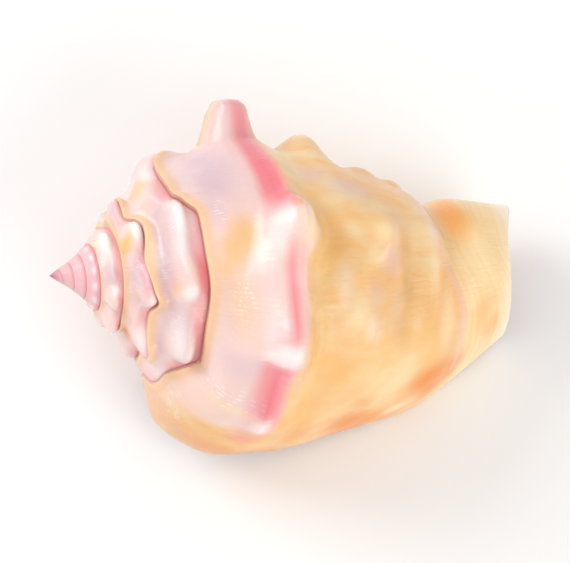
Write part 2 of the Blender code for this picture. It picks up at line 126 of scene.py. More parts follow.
# %% Table of knobs
# growth angle, distance along the axis, half width before and after that angle in degrees,
# half width along, height, bluntness, whiteness
KNOBS = [
    (6, 191, 10, 10, 23, 31, 9.0, 0.3),
    (6, 190, 14, 15, 28, 8, 2.6, 0.0),
    (8, 186, 14, 30, 27, 12, 2.0, 0.0),
    (71, 214, 7, 14, 14, 26, 2.4, 0.9),
    (74, 234, 8, 12, 14, 16, 2.6, 0.25),
    (119, 209, 14, 8, 16, 31, 1.9, 1.0),
    (149, 193, 13, 8, 14, 14, 2.0, 0.5),
    (0, 272, 14, 14, 19, 19, 2.4, 0.2),
    (2, 333, 11, 11, 15, 9, 2.4, 0.3),
    (2, 367, 9, 9, 12, 9, 2.4, 0.5),
    (78, 326, 9, 11, 14, 15, 1.4, 0.2),
    (76, 378, 9, 13, 13, 8, 2.0, 0.4),
    (98, 268, 14, 16, 18, 7, 1.7, 0.3),
    (117, 298, 12, 12, 16, 8, 1.6, 0.25),
    (98, 374, 16, 14, 8, 6, 2.0, 0.15),
    (102, 341, 13, 12, 10, -7, 2.0, 0.0),
    (106, 284, 8, 8, 10, -4, 2.0, 0.0),
    (-68, 186, 13, 13, 17, 22, 2.2, 0.8),
    (-125, 158, 13, 13, 15, 12, 2.2, 0.8),
    (-364, 115, 15, 15, 15, 18, 2.8, 0.3),
    (-302, 112, 8, 20, 8, 13, 2.8, 0.9),
    (-261, 118, 14, 6, 9, 11, 2.6, 1.0),
    (-222, 117, 17, 7, 9, 12, 2.8, 0.6),
    (-187, 103, 8, 8, 8, 8, 2.2, 0.1),
    (-408, 92, 13, 13, 10, 10, 2.4, 0.6),
    (-448, 90, 13, 13, 10, 10, 2.4, 0.6),
    (-488, 88, 13, 13, 9, 10, 2.4, 0.6),
    (-529, 86, 12, 12, 9, 11, 2.4, 0.6),
    (-568, 89, 14, 8, 8, 15, 2.8, 0.8),
    (-613, 84, 17, 7, 8, 14, 2.8, 0.9),
    (-663, 75, 9, 15, 8, 14, 2.8, 1.0),
    (-704, 67, 12, 12, 7, 13, 2.6, 0.2),
    (-745, 64, 12, 12, 6, 8, 2.4, 0.5),
    (-788, 62, 12, 12, 6, 8, 2.4, 0.5),
    (-830, 60, 12, 12, 6, 8, 2.4, 0.5),
    (-873, 58, 12, 12, 6, 9, 2.4, 0.5),
    (-916, 59, 13, 13, 7, 13, 2.6, 0.6),
    (-951, 56, 12, 7, 5, 9, 2.6, 0.8),
    (-984, 53, 11, 7, 5, 7, 2.6, 0.9),
    (-1036, 51, 12, 14, 6, 9, 2.6, 1.0),
]
print(len(KNOBS), "knobs, the highest", round(max(k[5] for k in KNOBS) * UNIT * 1000, 1), "mm")

# %% Folds, keel and beads
# folds that run out from a knob: growth angle and distance of the upper end and of the foot,
# half width before and after in degrees, height
FOLDS = [
    (76, 210, 97, 172, 8, 12, 8),
    (121, 202, 127, 146, 16, 6, 8),
    (150, 188, 157, 128, 15, 7, 5),
    (78, 324, 72, 280, 6, 8, 5),
    (80, 322, 92, 296, 5, 7, 5),
]
# sharp keel along the crest of the last whorl: growth angle, height
KEEL = [(-60, 0), (0, 2), (40, 4), (60, 5), (90, 5.5), (115, 5.5), (130, 5), (150, 4), (168, 2), (185, 0)]
KEEL_HALF = 8.0
BEADS_FROM = -1480.0
BEADS_TO = -1085.0
BEAD_STEP = 30.0
BEAD_HEIGHT = 3.0
print(len(FOLDS), "folds, and a keel from", KEEL[0][0], "to", KEEL[-1][0], "degrees")


# %% [markdown]
# ## Curves through the measures
# Between the measured places the shell is smooth. A monotone curve runs through the given points and
# never swings past them, so a flat place between two stations stays flat.

# %% Smooth curves
def slopes(x, y):
    """Slopes of a smooth curve through points that adds no extra humps."""
    h = np.diff(x)
    d = np.diff(y, axis=0) / h.reshape((-1,) + (1,) * (y.ndim - 1))
    m = np.zeros_like(y)
    m[0] = d[0]
    m[-1] = d[-1]
    for i in range(1, len(x) - 1):
        w1 = 2 * h[i] + h[i - 1]
        w2 = h[i] + 2 * h[i - 1]
        same = d[i - 1] * d[i] > 0
        safe0 = np.where(same, d[i - 1], 1.0)
        safe1 = np.where(same, d[i], 1.0)
        m[i] = np.where(same, (w1 + w2) / (w1 / safe0 + w2 / safe1), 0.0)
    return m


class SmoothCurve:
    """A smooth curve through points, called with the place along it."""

    def __init__(self, x, y):
        self.x = np.asarray(x, float)
        self.y = np.asarray(y, float)
        self.m = slopes(self.x, self.y)

    def __call__(self, q):
        x, y, m = self.x, self.y, self.m
        q = np.clip(q, x[0], x[-1])
        i = np.clip(np.searchsorted(x, q, side="right") - 1, 0, len(x) - 2)
        h = x[i + 1] - x[i]
        u = (q - x[i]) / h
        if y.ndim > 1:
            u = np.asarray(u)[..., None]
            h = np.asarray(h)[..., None]
        return ((2 * u**3 - 3 * u**2 + 1) * y[i] + (u**3 - 2 * u**2 + u) * h * m[i]
                + (3 * u**2 - 2 * u**3) * y[i + 1] + (u**3 - u**2) * h * m[i + 1])


def ease(a, b, x):
    """Smooth step from 0 at a to 1 at b."""
    u = np.clip((x - a) / (b - a), 0.0, 1.0)
    return u * u * (3 - 2 * u)


suture = SmoothCurve([k[0] for k in SUTURE], [k[1:] for k in SUTURE])
climb_curve = SmoothCurve([c[0] for c in CLIMB], [c[1] for c in CLIMB])
keel_height = SmoothCurve([k[0] for k in KEEL], np.array([k[1] for k in KEEL], float))
station_curves = []
for j in range(12):
    keys = [(s[0], s[1][j]) for s in SECTIONS if s[1][j] is not None]
    station_curves.append(SmoothCurve([k[0] for k in keys], [k[1] for k in keys]))
print("suture ends", suture(LAST_FREE_SUTURE).round(1), "units from the apex and from the axis")


# %% [markdown]
# ## One section
# A section starts at the whorl's edge, the suture. It runs over the ramp and the knobbed crest and
# down to the front rim. On the spire the next whorl covers all but the first part of it.

# %% Sections of the whorls
STATIONS = 13
BEYOND_FREE = (0.35, -0.12)
# the hidden part of the earlier sections is the first measured one, shrunk about this point
HIDDEN_BASE = np.array([108.0, 100.0])


def ledge(t):
    """Step down from a whorl's edge to the whorl it lies on."""
    return float(np.clip(0.03 * suture(t)[1], 0.15, 3.2))


def climb(t):
    """Place in the section at growth angle t where the next whorl's edge lies."""
    return 3.0 if t <= CLIMB[0][0] else float(climb_curve(t))


def stations(t):
    """The thirteen stations (distance along the axis, radius) of the section at growth angle t."""
    z = np.zeros((STATIONS, 2))
    here = suture(min(t, LAST_FREE_SUTURE))
    if t <= SPIRE_UNTIL:
        following = suture(t + 360) - np.array([0.0, 2 * ledge(t + 360)])
    else:
        last = suture(LAST_FREE_SUTURE) - np.array([0.0, 2 * ledge(LAST_FREE_SUTURE)])
        following = last + (t - SPIRE_UNTIL) * np.array(BEYOND_FREE)
    z[0] = here
    young = float(ease(YOUNG_TO, YOUNG_FROM, t))
    ramp_part = np.array(RAMP_PART) * (1 - young) + np.array(YOUNG_RAMP) * young
    crest_part = np.array(CREST_PART) * (1 - young) + np.array(YOUNG_CREST) * young
    spire_ramp = here + (following - here) * ramp_part
    spire_crest = here + (following - here) * crest_part
    blend = float(ease(-250, BODY_FROM, t))
    body_t = max(t, BODY_FROM)
    z[1] = spire_ramp * (1 - blend) + station_curves[0](body_t) * blend
    z[2] = spire_crest * (1 - blend) + station_curves[1](body_t) * blend
    late = float(ease(SPIRE_UNTIL, BODY_FROM, t))
    z[3] = following * (1 - late) + station_curves[2](body_t) * late
    first_t = SECTIONS[0][0]
    if t >= first_t:
        for j in range(4, STATIONS):
            z[j] = station_curves[j - 1](t)
    else:
        size = z[3][1] / HIDDEN_BASE[1]
        for j in range(4, STATIONS):
            z[j] = z[3] + (station_curves[j - 1](first_t) - HIDDEN_BASE) * size
    if t > LAST_FREE_SUTURE:
        before = SmoothCurve(np.arange(float(STATIONS)), stations(t - 360))
        z[0] = before(float(climb_curve(t - 360))) + np.array([-0.5, 1.0]) * ledge(LAST_FREE_SUTURE)
    return z


def section(t, w):
    """Points (distance along the axis, radius) and outward normals at the places w of a section."""
    line = SmoothCurve(np.arange(float(STATIONS)), stations(t))
    d = line(np.clip(w + 0.06, 0, 12)) - line(np.clip(w - 0.06, 0, 12))
    d /= np.maximum(np.linalg.norm(d, axis=1, keepdims=True), 1e-9)
    return line(w), np.stack([-d[:, 1], d[:, 0]], axis=1)


print("station of the crest at the lip:", stations(T_LIP)[2].round(1))


# %% [markdown]
# ## Knobs on the section
# Each knob is a soft bell over growth angle and distance. The bells are added up, and their sum moves
# the section mostly straight away from the axis and a little along its own normal, as real knobs
# lean. Sculpting would give the same forms, but a table of numbers can be measured and mended.

# %% Relief
# a bell exp(-HALF * x**n) has half its height at x = 1, whatever n is
HALF = 0.69
KNOB_REACH = 3.2
ALONG_NORMAL = 0.25
FROM_AXIS = 0.8
# from this growth angle to the lip the knobs fade
FADE_FROM = 168.0


def knob_height(t, p):
    """Height of the knobs above the section points p at growth angle t."""
    h = np.zeros(len(p))
    for kt, ks, before, after, a_s, height, blunt, _ in KNOBS:
        a_t = before if t < kt else after
        if abs(t - kt) <= KNOB_REACH * a_t:
            rho = np.sqrt(((t - kt) / a_t) ** 2 + ((p[:, 0] - ks) / a_s) ** 2)
            h += height * np.exp(-HALF * rho**blunt)
    if t > KEEL[0][0]:
        for tip_t, tip_s, foot_t, foot_s, before, after, height in FOLDS:
            away = t - foot_t - (tip_t - foot_t) * (p[:, 0] - foot_s) / (tip_s - foot_s)
            across = np.abs(away) / np.where(away < 0, before, after)
            along = ease(foot_s - 20, foot_s + 25, p[:, 0]) * (1 - ease(tip_s - 8, tip_s + 12, p[:, 0]))
            h += height * along * np.exp(-HALF * across**1.7)
        h += keel_height(t) * np.exp(-np.abs(p[:, 0] - stations(t)[2][0]) / KEEL_HALF)
    if BEADS_FROM < t < BEADS_TO:
        crest = stations(t)[2]
        wave = 0.5 + 0.5 * math.cos(2 * math.pi * (t - BEADS_TO) / BEAD_STEP)
        size = BEAD_HEIGHT * float(ease(BEADS_FROM, BEADS_TO, t) * 0.5 + 0.5)
        h += size * wave * np.exp(-(((p[:, 0] - crest[0]) / 3.5) ** 2))
    return h


def relief(t, p, n):
    """How far the knobs move the section points p with normals n."""
    h = knob_height(t, p)
    if t > 0:
        h = h * (1 - 0.6 * ease(FADE_FROM, T_LIP, t))
    return n * ALONG_NORMAL * h[:, None] + np.array([0.0, FROM_AXIS]) * h[:, None]


def outer(t, w):
    """Outer surface with its knobs, and the plain inner offset of it, as flat (s, r) points."""
    p, n = section(t, w)
    out = p + relief(t, p, n)
    if t >= T_APEX + 360:
        below, below_n = section(t - 360, np.array([climb(t - 360)]))
        out = out + relief(t - 360, below, below_n) * (1 - ease(0.0, 1.0, w))[:, None]
    # the wall is thinner near its edge
    thick = LIP_THICK * np.minimum(1.0, 0.35 + w * 0.6)
    return out, p - n * thick[:, None]


def place(t, flat):
    """Flat points (s, r) of a section, turned to growth angle t."""
    a = math.radians(t)
    return np.stack([flat[:, 0], flat[:, 1] * math.cos(a), flat[:, 1] * math.sin(a)], axis=1)


tall = outer(6.0, np.linspace(1, 3, 41))[0]
top = tall[tall[:, 1].argmax()]
print("tall spine reaches radius", top[1].round(1), "units at s", top[0].round(1))

# %% [markdown]
# ## The grid
# Rows of points follow the sections, and each row is joined to the row before. Every point keeps its
# growth numbers, because the material needs them later: colour on a shell follows growth.

# %% Grid lines
TURN_STEPS = [(-2520, -1080, 7.5), (-1080, -530, 4.0), (-530, -170, 2.5), (-170, 190, 1.875)]
CAVITY_STEP = 6.5
TIP_ROWS = 6
SPIRE_CELLS = 27
BODY_CELLS = 56
OUTSIDE, INSIDE, CORE, LIP = 0.0, 1.0, 2.0, 3.0

# grid lines of the bare part, close together where a whorl meets its neighbour, and of the rest
u = np.linspace(0.0, 1.0, SPIRE_CELLS + 1)
W_SPIRE = u - 0.12 * np.sin(2 * np.pi * u) / np.pi * 1.6
u = np.linspace(0.0, 1.0, BODY_CELLS + 1)
W_BODY = u**1.12


def growth_angles(steps):
    """Growth angles of all the rows."""
    out = []
    for a, b, step in steps:
        n = int(round((b - a) / step))
        out += [a + (b - a) * i / n for i in range(n)]
    return out + [steps[-1][1]]


def places(t):
    """Grid lines of a section: the part that a next whorl leaves bare, then the rest."""
    cut = climb(t)
    return W_SPIRE * cut, cut + (12.0 - cut) * W_BODY[1:]


turns = sorted(set(round(t, 6) for t in growth_angles(TURN_STEPS)) | {T_CANAL})
turns = [t for t in turns if t == T_CANAL or abs(t - T_CANAL) > 0.4]
print(len(turns), "rows of", len(W_SPIRE), "to", len(W_SPIRE) + len(W_BODY) - 1, "points")


# %% A skin of points and faces
class Skin:
    """Points with their growth numbers, and faces that point outwards."""

    def __init__(self):
        self.points = []
        self.faces = []
        self.growth = []

    def add(self, points, t, w, kind):
        """New points with their growth numbers."""
        first = len(self.points)
        self.points += [tuple(float(c) for c in p) for p in points]
        w = np.broadcast_to(w, (len(points),))
        self.growth += [(float(t), float(q), kind) for q in w]
        return list(range(first, len(self.points)))

    def between(self, p, q, push, kind):
        """New point half way between the points p and q, moved by push."""
        at = (np.array(self.points[p]) + np.array(self.points[q])) / 2 + push
        return self.add([at], self.growth[p][0], self.growth[p][1], kind)[0]

    def face(self, *ids):
        """A face, without the points that are named twice."""
        clean = []
        for i in ids:
            if i not in clean:
                clean.append(i)
        if len(clean) >= 3:
            self.faces.append(tuple(reversed(clean)))

    def strip(self, a, b):
        """Faces between two rows of equally many points."""
        for i in range(len(a) - 1):
            self.face(a[i], a[i + 1], b[i + 1], b[i])

    def zip(self, a, ta, b, tb):
        """Triangles between two rows of points, walked in step by their growth angles."""
        i = j = 0
        while i < len(a) - 1 or j < len(b) - 1:
            if j == len(b) - 1 or (i < len(a) - 1 and ta[i + 1] <= tb[j + 1] + 1e-9):
                self.face(a[i], a[i + 1], b[j])
                i += 1
            else:
                self.face(a[i], b[j + 1], b[j])
                j += 1


skin = Skin()


# %% The outside
def grow_outside(skin, turns):
    """Outer rows, the cap of the apex, and the seam where each whorl lies on the one before."""
    rows = {}
    for t in turns:
        first, rest = places(t)
        w = first if t < T_LIP - 360 - 1e-6 else np.concatenate([first, rest])
        points = place(t, outer(t, w)[0])
        if t == turns[0]:
            points, w = points[[0, -1]], w[[0, -1]]
        rows[t] = skin.add(points, t, w, OUTSIDE)
    rows[turns[0]] = rows[turns[0]][:1] + rows[turns[0]][1:] * SPIRE_CELLS
    for a, b in zip(turns[:-1], turns[1:]):
        k = min(len(rows[a]), len(rows[b]))
        skin.strip(rows[a][:k], rows[b][:k])
    apex = skin.add([(SUTURE[0][1] * 0.25, 0.0, 0.0)], T_APEX, 0.0, OUTSIDE)[0]
    first_turn = [t for t in turns if t <= T_APEX + 360 + 1e-6]
    for a, b in zip(first_turn[:-1], first_turn[1:]):
        skin.face(apex, rows[a][0], rows[b][0])
    start = rows[turns[0]]
    skin.face(apex, start[SPIRE_CELLS], start[0])
    skin.face(apex, rows[first_turn[-1]][0], start[SPIRE_CELLS])
    upper = [t for t in turns if t >= T_APEX + 360 - 1e-6]
    lower = [t for t in turns if t <= T_LIP - 360 + 1e-6]
    skin.zip([rows[t][0] for t in upper], upper,
             [rows[t][SPIRE_CELLS] for t in lower], [t + 360 for t in lower])
    return rows


rows = grow_outside(skin, turns)
print("outside:", len(skin.points), "points and", len(skin.faces), "faces")


# %% [markdown]
# ## The hollow
# The aperture lies between the wall of the last whorl and the whorl inside it, and the hollow runs on
# behind it until it narrows to nothing. Cutting it out with a boolean would leave ragged edges, so
# its two walls are rows of the same grid.

# %% The hollow
def cavity_sections(t):
    """Flat points of the hollow's outer wall, of the whorl inside it, and of that whorl's front end."""
    w = np.concatenate(places(t))
    inner = outer(t, w)[1]
    # behind the lip the inner wall sinks a little into the whorl before
    gap = float(ease(T_LIP, T_LIP - 22, t))
    start_w = climb(t - 360) + 0.9 * gap
    core, core_n = section(t - 360, start_w + (12.0 - start_w) * W_BODY)
    if t < T_LIP - 1e-6:
        core = core - core_n * (3.0 * gap * ease(0, 0.3, W_BODY))[:, None]
    # behind the canal the two walls come together at the front
    near = 1.0 - float(ease(T_CANAL, T_CANAL + 40, t))
    if t <= T_CANAL:
        near = 1.0 - 0.75 * float(ease(T_CANAL, T_BACK, t))
    last = core[-1] + np.array([3.0, -4.0])
    pull = (near * ease(0.45, 1.0, W_BODY) * 0.9)[:, None]
    core = core * (1 - pull) + (inner[SPIRE_CELLS:] + np.array([-2.0, -4.0])) * pull
    end = last * (1 - near) + inner[-1] * near
    if t < T_CANAL:
        core[-1] = (core[-2] + end) / 2 + np.array([0.0, -0.5])
    # towards its inner end the hollow gets shallow
    depth = np.full(len(w), float(ease(T_BACK - 22, T_BACK + 60, t)))
    if t < T_CANAL:
        along = np.concatenate([np.zeros(SPIRE_CELLS), W_BODY])
        depth = depth * (1 - along**3 * (0.5 + 0.5 * float(ease(T_CANAL, T_BACK, t))))
    core_all = np.concatenate([np.repeat(core[:1], SPIRE_CELLS, axis=0), core])
    wall = core_all * (1 - depth)[:, None] + inner * depth[:, None]
    return w, wall, core, end


def grow_hollow(skin, rows):
    """The hollow behind the aperture: its outer wall and the whorl inside it."""
    n = int(round((T_LIP - T_BACK) / CAVITY_STEP))
    angles = [round(T_BACK + (T_LIP - T_BACK) * i / n, 6) for i in range(n + 1)]
    angles = sorted(set([c for c in angles if abs(c - T_CANAL) > 2] + [T_CANAL]))
    wall, core, end = {}, {}, {}
    for t in angles:
        w, wall_flat, core_flat, end_flat = cavity_sections(t)
        if abs(t - T_LIP) < 1e-6:
            core[t] = rows[T_LIP - 360][SPIRE_CELLS:]
            end[t] = None
        else:
            core[t] = skin.add(place(t, core_flat), t, W_BODY * 12, CORE)
            end[t] = skin.add(place(t, end_flat[None]), t, 12.0, CORE)[0]
        if t == angles[0]:
            wall[t] = [core[t][0]] * SPIRE_CELLS + core[t]
        else:
            wall[t] = [core[t][0]] + skin.add(place(t, wall_flat[1:]), t, w[1:], INSIDE)
        if t <= T_CANAL + 1e-6:
            wall[t][-1] = end[t]
    return angles, wall, core, end


angles, wall, core, end = grow_hollow(skin, rows)
print("hollow:", len(angles), "rows from", angles[0], "to", angles[-1], "degrees")


# %% [markdown]
# ## The front end
# The whorl inside ends on the axis. Its rim is closed with rings that shrink to one point, because a
# flat cap would show as a disc behind the open canal.

# %% The front end of the whorl inside
def close_front(skin, turns, rows, angles, wall, core, end):
    """The front end of the inner whorl, closed to a point on the axis, and the faces of the hollow."""
    ring, ring_t = [], []
    for t in [t for t in turns if T_LIP - 360 - 1e-6 <= t <= T_CANAL + 1e-6]:
        if abs(t - T_CANAL) < 1e-6:
            ring.append(end[T_CANAL])
        else:
            flat, normal = section(t, np.array([11.6, 12.0]))
            drop = 3.0 + (LIP_THICK - 3.0) * float(ease(T_LIP - 360, T_CANAL, t))
            q = flat[1] - normal[1] * drop + np.array([1.0, 0.0])
            ring.append(skin.add(place(t, q[None]), t, 12.0, LIP)[0])
        ring_t.append(t)
    end[T_LIP] = ring[0]
    for (ta, a), (tb, b) in zip(list(zip(ring_t, ring))[:-1], list(zip(ring_t, ring))[1:]):
        skin.face(rows[ta][-1], a, b, rows[tb][-1])
    ring += [end[t] for t in angles if t > T_CANAL + 1e-6]
    ring = ring[:-1] + [ring[0]]
    for k in range(1, TIP_ROWS):
        shrink = (TIP_ROWS - k) / (TIP_ROWS - k + 1)
        ids = []
        for v in ring[:-1]:
            x, y, z = skin.points[v]
            at = (POLE_S + (x - POLE_S) * shrink * 0.9, y * shrink, z * shrink)
            ids.append(skin.add([at], skin.growth[v][0], 12.0, CORE)[0])
        ids = ids + [ids[0]]
        for i in range(len(ring) - 1):
            skin.face(ring[i], ids[i], ids[i + 1], ring[i + 1])
        ring = ids
    pole = skin.add([(POLE_S, 0.0, 0.0)], 0.0, 12.0, CORE)[0]
    for i in range(len(ring) - 1):
        skin.face(ring[i], pole, ring[i + 1])
    for a, b in zip(angles[:-1], angles[1:]):
        skin.strip(wall[b], wall[a])
        skin.strip(core[a] + [end[a]], core[b] + [end[b]])
    skin.face(core[angles[0]][-2], end[angles[0]], core[angles[0]][-1])


close_front(skin, turns, rows, angles, wall, core, end)
print("with the front end:", len(skin.faces), "faces")


# %% [markdown]
# ## The lip
# The outside and the hollow's wall end at the same growth angle. One row of points between them,
# pushed a little forward, rounds the edge. A bevel would soften the suture and the keel as well.

# %% The lip and the front rim
def round_lip(skin, turns, rows, angles, wall):
    """The lip's edge and the front rim, with a middle row that rounds them."""
    o, i = rows[T_LIP], wall[T_LIP]
    a = math.radians(T_LIP)
    forward = np.array([0.0, -math.sin(a), math.cos(a)]) * LIP_THICK * 0.35
    middle = []
    for k in range(1, len(o)):
        push = forward
        if k == len(o) - 1:
            push = forward * 0.6 + np.array([LIP_THICK * 0.25, 0, 0])
        middle.append(skin.between(o[k], i[k], push, LIP))
    skin.face(o[0], middle[0], i[0])
    skin.face(o[0], o[1], middle[0])
    skin.face(i[0], middle[0], i[1])
    for k in range(1, len(o) - 1):
        skin.face(o[k], o[k + 1], middle[k], middle[k - 1])
        skin.face(middle[k - 1], middle[k], i[k + 1], i[k])
    rim_t = [t for t in turns if t >= T_CANAL - 1e-6]
    in_t = [t for t in angles if t >= T_CANAL - 1e-6]
    out_row = [rows[t][-1] for t in rim_t]
    in_row = [wall[t][-1] for t in in_t]
    front = np.array([LIP_THICK * 0.35, 0, 0])
    mid_row = []
    for t in in_t[1:-1]:
        nearest = min(rim_t, key=lambda q: abs(q - t))
        mid_row.append(skin.between(rows[nearest][-1], wall[t][-1], front, LIP))
    mid_row.append(middle[-1])
    mid_t = in_t[1:]
    skin.face(out_row[0], in_row[0], mid_row[0])
    skin.face(in_row[0], in_row[1], mid_row[0])
    skin.zip(in_row[1:], in_t[1:], mid_row, mid_t)
    last = max(q for q in range(len(rim_t)) if rim_t[q] <= mid_t[0] + 1e-6)
    for q in range(last):
        skin.face(out_row[q], mid_row[0], out_row[q + 1])
    skin.zip(mid_row, mid_t, out_row[last:], rim_t[last:])


round_lip(skin, turns, rows, angles, wall)
print(len(skin.points), "points and", len(skin.faces), "faces grown")

# %% [markdown]
# ## Laid down
# The numbers above are measured along the shell's axis. The shell rests on its lip and two knobs,
# with its back up, so the grown points are turned to that position and set where the solid is.

# %% The shell as a mesh
REST_DOWN = (0.21403, -0.26627, -0.93984)
REST_ORIGIN = Vector((0.0520707, -0.0028916, -0.0320755))
SHARP_ANGLE = math.radians(42)

up = -Vector(REST_DOWN).normalized()
along = Vector((1.0, 0.0, 0.0))
along = (along - up * along.dot(up)).normalized()
REST_TURN = Matrix((along, up.cross(along), up))


def at_rest(point):
    """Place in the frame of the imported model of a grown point."""
    return REST_TURN @ (Vector(point) * UNIT) - REST_ORIGIN


data = bpy.data.meshes.new("shell_skin")
data.from_pydata([at_rest(p) for p in skin.points], [], skin.faces)
data.validate()
shell = bpy.data.objects.new("shell_skin", data)
bpy.context.scene.collection.objects.link(shell)
bpy.ops.object.select_all(action="DESELECT")
bpy.context.view_layer.objects.active = shell
shell.select_set(True)
bpy.ops.object.shade_smooth_by_angle(angle=SHARP_ANGLE)
print("skin:", len(data.polygons), "faces")

# %% [markdown]
# ## Marks that follow growth
# The pink band, the pale edge of each whorl and the white tips were all laid down by the growing
# lip, so each of them is worked out from the growth numbers. Painting them by hand would be quicker,
# but then they would stay behind when a knob is moved. Every mark is stored on the points as a number
# from 0 to 1, and the material mixes its colours by them.

# %% Lines of the bands
# middle of the rose band, its strength, and the line where the warm colour of the body starts
ROSE_LINE = SmoothCurve(
    [-70, 0, 12, 25, 38, 52, 65, 72, 82, 100, 108, 114, 119, 124, 130, 137, 147, 150, 163, 168, 190],
    [202, 196, 199, 201, 204, 207, 208, 206, 208, 208, 206, 202, 196, 193, 193, 191, 187.5, 186, 180, 174,
     165])
ROSE_POWER = SmoothCurve(
    [-70, -10, 0, 12, 38, 60, 69, 74, 82, 92, 104, 114, 119, 123, 125, 142, 148, 153, 160, 166, 172, 190],
    [0.3, 0.4, 0.55, 0.7, 1.0, 1.0, 0.85, 0.0, 0.35, 0.6, 0.8, 0.75, 0.2, 0.3, 0.95, 1.0, 0.6, 0.15, 0.5,
     0.5, 0.0, 0.0])
SPIRE_ROSE = SmoothCurve(
    [-1080, -1000, -700, -640, -560, -420, -345, -325, -300, -285, -268, -258, -250, -236, -215, -190, -171,
     -150],
    [0.4, 0.5, 0.3, 0.35, 0.5, 0.5, 0.3, 0.5, 0.45, 0.45, 0.85, 0.8, 0.5, 0.55, 0.55, 0.4, 0.2, 0.0])
BODY_LINE = SmoothCurve(
    [-170, 0, 12, 27, 41, 52, 64, 71, 77, 85, 89, 97, 103, 109, 114, 122, 136, 141, 147, 152, 160, 168, 190],
    [215, 210, 212, 213, 214, 217, 218, 228, 245, 232, 223, 222, 221.5, 220, 216, 210, 205, 204, 200, 193,
     160, 120, 100])
BODY_EDGE = SmoothCurve([-170, 60, 77, 87, 115, 125, 150, 190], [12, 9, 4, 2.5, 3, 7, 12, 30])
GROOVE_LINE = SmoothCurve([-170, 40, 71, 84, 103, 115, 131, 145, 165, 190],
                          [345, 372, 380, 384, 397, 405, 411, 410, 405, 400])
print("the rose band's middle is at s", ROSE_LINE(100.0).round(1), "where t is 100")

